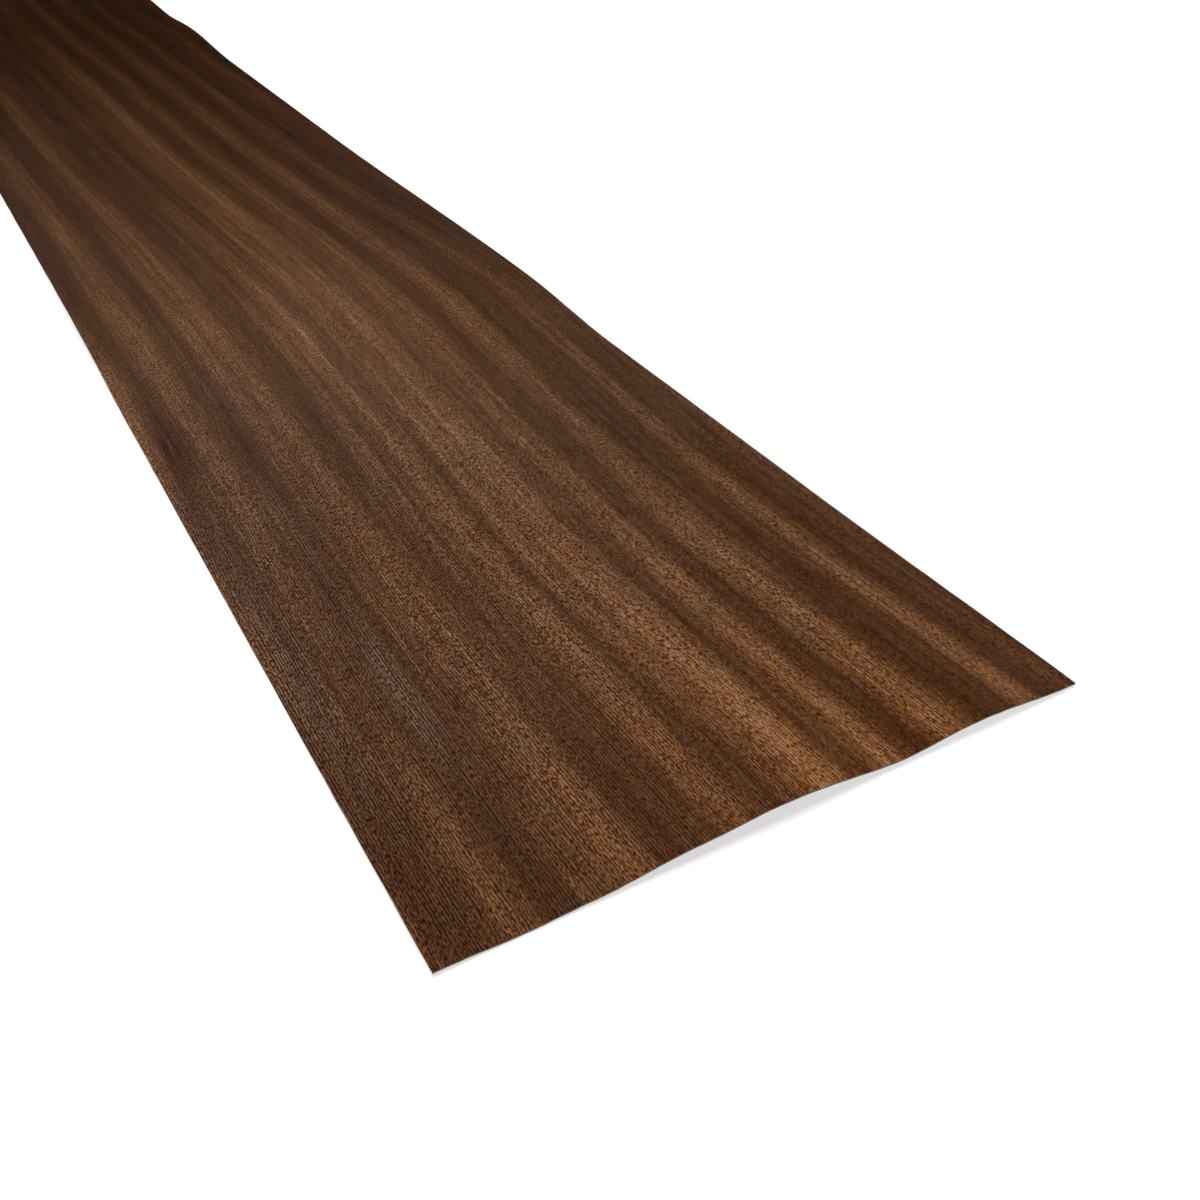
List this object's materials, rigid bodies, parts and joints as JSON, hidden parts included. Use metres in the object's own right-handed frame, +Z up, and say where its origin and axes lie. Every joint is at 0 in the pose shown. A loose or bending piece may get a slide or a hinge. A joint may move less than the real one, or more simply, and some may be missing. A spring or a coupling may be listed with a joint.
{
  "type": "wood veneer sheet",
  "caption": "Long thin leaf of dark ribbon-figured wood veneer, lying flat with slight drying ridges at one end, for facing boards and furniture.",
  "frame": {"origin": "middle of the leaf's outline, on the level floor that its back rests on", "axes": "+X along the grain and the length, towards the end with the drying ridges; +Y across the width, towards the edge with the ripples; +Z up, out of the face side"},
  "size_m": [2.5, 0.25, 0.0069],
  "materials": {
    "wood_face": "dark brown ribbon-figured quarter-cut veneer, unfinished, faint silky sheen, short open pores along the grain"
  },
  "bodies": {
    "root": {"veneer_sheet": "wood_face"}
  },
  "joints": []
}
